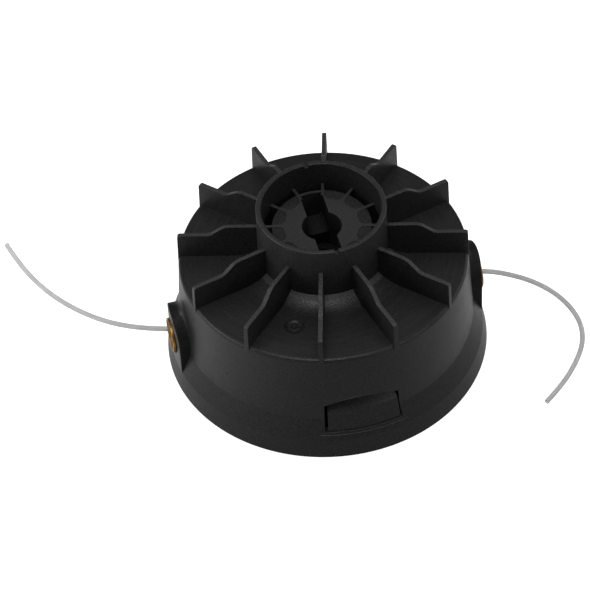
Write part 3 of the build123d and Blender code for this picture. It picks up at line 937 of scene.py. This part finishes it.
LINE_LEFT = [
    (-42.7, -0.2, 15.5), (-52.4, 2.1, 15.9), (-62.0, 5.6, 16.0), (-70.4, 10.6, 16.0),
    (-77.9, 17.6, 16.0), (-84.1, 25.6, 16.0), (-88.8, 34.0, 16.0), (-92.8, 44.2, 16.0),
    (-95.1, 53.2, 16.0),
]
LINE_RIGHT = [
    (43.2, 0.8, 15.5), (52.4, -1.1, 15.9), (61.0, -5.8, 16.0), (68.1, -11.9, 16.0),
    (73.5, -20.3, 16.0), (75.9, -30.4, 16.0), (74.3, -39.2, 16.0), (69.6, -46.9, 16.0),
    (62.2, -55.2, 16.0), (55.5, -60.4, 16.0),
]


def add_line(name, route, node):
    """Tube along the route, and the point where the line starts."""
    curve = bpy.data.curves.new(name, "CURVE")
    curve.dimensions = "3D"
    curve.resolution_u = 16
    curve.bevel_depth = LINE_R * MM
    curve.bevel_resolution = 6
    curve.use_fill_caps = True
    spline = curve.splines.new("NURBS")
    spline.points.add(len(route) - 1)
    for p, (x, y, z) in zip(spline.points, route):
        p.co = (x * MM, y * MM, (z + RIM) * MM, 1.0)
    spline.order_u = 3
    spline.use_endpoint_u = True
    curve.materials.append(nylon)
    ob = bpy.data.objects.new(name, curve)
    scene.collection.objects.link(ob)
    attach(ob, "housing")
    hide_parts(node)
    start = [c * MM for c in route[0]]
    start[2] += RIM * MM
    return ob, start


left, left_exit = add_line("nylon_line_left", LINE_LEFT, "line_left")
right, right_exit = add_line("nylon_line_right", LINE_RIGHT, "line_right")


# Inner pieces keep their solids

for node, material in {
    "spool": spool_black, "winding_lower": nylon, "winding_upper": nylon,
    "spring_washer": steel,
}.items():
    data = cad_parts[node].data
    data.materials.clear()
    data.materials.append(material)


# Floor, light and camera

def build_floor():
    """Floor that is plain white to the camera and glows unevenly on the part."""
    mesh = bpy.data.meshes.new("floor")
    bm = bmesh.new()
    just_below = Matrix.Translation((0, 0, -FLOOR_GAP * MM))
    bmesh.ops.create_grid(
        bm, x_segments=1, y_segments=1, size=FLOOR_HALF * MM, matrix=just_below)
    bm.to_mesh(mesh)
    bm.free()
    m, tree, shader = new_material("pale_floor")
    coords = tree.nodes.new("ShaderNodeTexCoord")
    parts = tree.nodes.new("ShaderNodeSeparateXYZ")
    tree.links.new(coords.outputs["Object"], parts.inputs[0])
    across = add_math(tree, "MULTIPLY_ADD", parts.outputs["X"], 5.0, 0.5)
    glow = add_ramp(tree, across, 0.0, 1.0, grey(1.0), grey(0.6))
    for place, tone in ((0.3, 0.34), (0.66, 0.34)):
        glow.color_ramp.elements.new(place).color = grey(tone)
    seen = tree.nodes.new("ShaderNodeLightPath")
    paper = tree.nodes.new("ShaderNodeMix")
    paper.data_type = "RGBA"
    paper.inputs["B"].default_value = grey(1.0)
    tree.links.new(seen.outputs["Is Camera Ray"], paper.inputs["Factor"])
    tree.links.new(glow.outputs["Color"], paper.inputs["A"])
    tree.links.new(paper.outputs["Result"], shader.inputs["Emission Color"])
    shader.inputs["Emission Strength"].default_value = 1.0
    shader.inputs["Base Color"].default_value = (0.25, 0.25, 0.25, 1)
    shader.inputs["Roughness"].default_value = 0.9
    shader.inputs["Specular IOR Level"].default_value = 0.0
    mesh.materials.append(m)
    ob = bpy.data.objects.new("floor", mesh)
    scene.collection.objects.link(ob)


build_floor()


def build_studio():
    """Dim room light, with a pale wall where the camera looks past the floor."""
    world = bpy.data.worlds.new("studio")
    world.use_nodes = True
    nodes, links = world.node_tree.nodes, world.node_tree.links
    room = nodes["Background"]
    room.inputs["Color"].default_value = (1, 1, 1, 1)
    room.inputs["Strength"].default_value = 0.015
    wall = nodes.new("ShaderNodeBackground")
    wall.inputs["Color"].default_value = (1, 1, 1, 1)
    wall.inputs["Strength"].default_value = 0.9
    seen = nodes.new("ShaderNodeLightPath")
    mixed = nodes.new("ShaderNodeMixShader")
    links.new(seen.outputs["Is Camera Ray"], mixed.inputs[0])
    links.new(room.outputs["Background"], mixed.inputs[1])
    links.new(wall.outputs["Background"], mixed.inputs[2])
    links.new(mixed.outputs["Shader"], nodes["World Output"].inputs["Surface"])
    scene.world = world


build_studio()


SOFTBOX_AIM, SOFTBOX_RATIO = (0, 0, 0.03), 0.75


def add_softbox(name, place, width, power):
    """Soft light that faces the part."""
    data = bpy.data.lights.new(name, "AREA")
    data.shape = "RECTANGLE"
    data.size = width
    data.size_y = SOFTBOX_RATIO * width
    data.energy = power
    ob = bpy.data.objects.new(name, data)
    ob.location = place
    ob.rotation_mode = "QUATERNION"
    ob.rotation_quaternion = (Vector(SOFTBOX_AIM) - Vector(place)).to_track_quat("-Z", "Y")
    scene.collection.objects.link(ob)


for name, place, width, power in (
    ("softbox_left", (-0.75, 0.05, 0.35), 0.6, 7.8),
    ("softbox_right", (0.75, 0.10, 0.35), 0.6, 2.9),
    ("softbox_top", (-0.09, -0.22, 1.1), 0.35, 8.0),
    ("softbox_ceiling", (0.0, 0.0, 1.1), 1.4, 5.6),
    ("softbox_ceiling_back", (0.0, 0.45, 1.0), 0.8, 1.1),
    ("softbox_back", (0.15, 0.75, 0.85), 0.6, 0.55),
    ("softbox_front", (0.1, -0.9, 0.6), 0.6, 0.2),
    ("softbox_front_left", (-0.6, -0.6, 0.5), 0.6, 0.4),
    ("softbox_front_right", (0.6, -0.6, 0.5), 0.6, 3.8),
):
    add_softbox(name, place, width, power)


def add_camera():
    """Camera fitted to the photograph, with its small roll."""
    az, el, roll = (math.radians(a) for a in (11.2904, 47.1798, 3.4768))
    rim_right, rim_down, rim_ahead = 10.478, 12.579, 915.28
    focal_pixels, photo_pixels = 2805.97, 590
    ahead = Vector((math.sin(az) * math.cos(el), math.cos(az) * math.cos(el), -math.sin(el)))
    level = Vector((math.cos(az), -math.sin(az), 0.0))
    below = ahead.cross(level)
    right_dir = level * math.cos(roll) + below * math.sin(roll)
    down_dir = below * math.cos(roll) - level * math.sin(roll)
    place = -(right_dir * rim_right + down_dir * rim_down + ahead * rim_ahead) * MM
    place.z += RIM * MM
    data = bpy.data.cameras.new("camera")
    data.sensor_width = 36.0
    data.lens = focal_pixels / photo_pixels * data.sensor_width
    data.clip_start = 0.05
    data.clip_end = 50.0
    ob = bpy.data.objects.new("camera", data)
    turned = Matrix((right_dir, -down_dir, -ahead)).transposed()
    ob.matrix_world = Matrix.Translation(place) @ turned.to_4x4()
    scene.collection.objects.link(ob)
    scene.camera = ob


add_camera()
scene.view_settings.view_transform = "Standard"
scene.view_settings.look = "None"
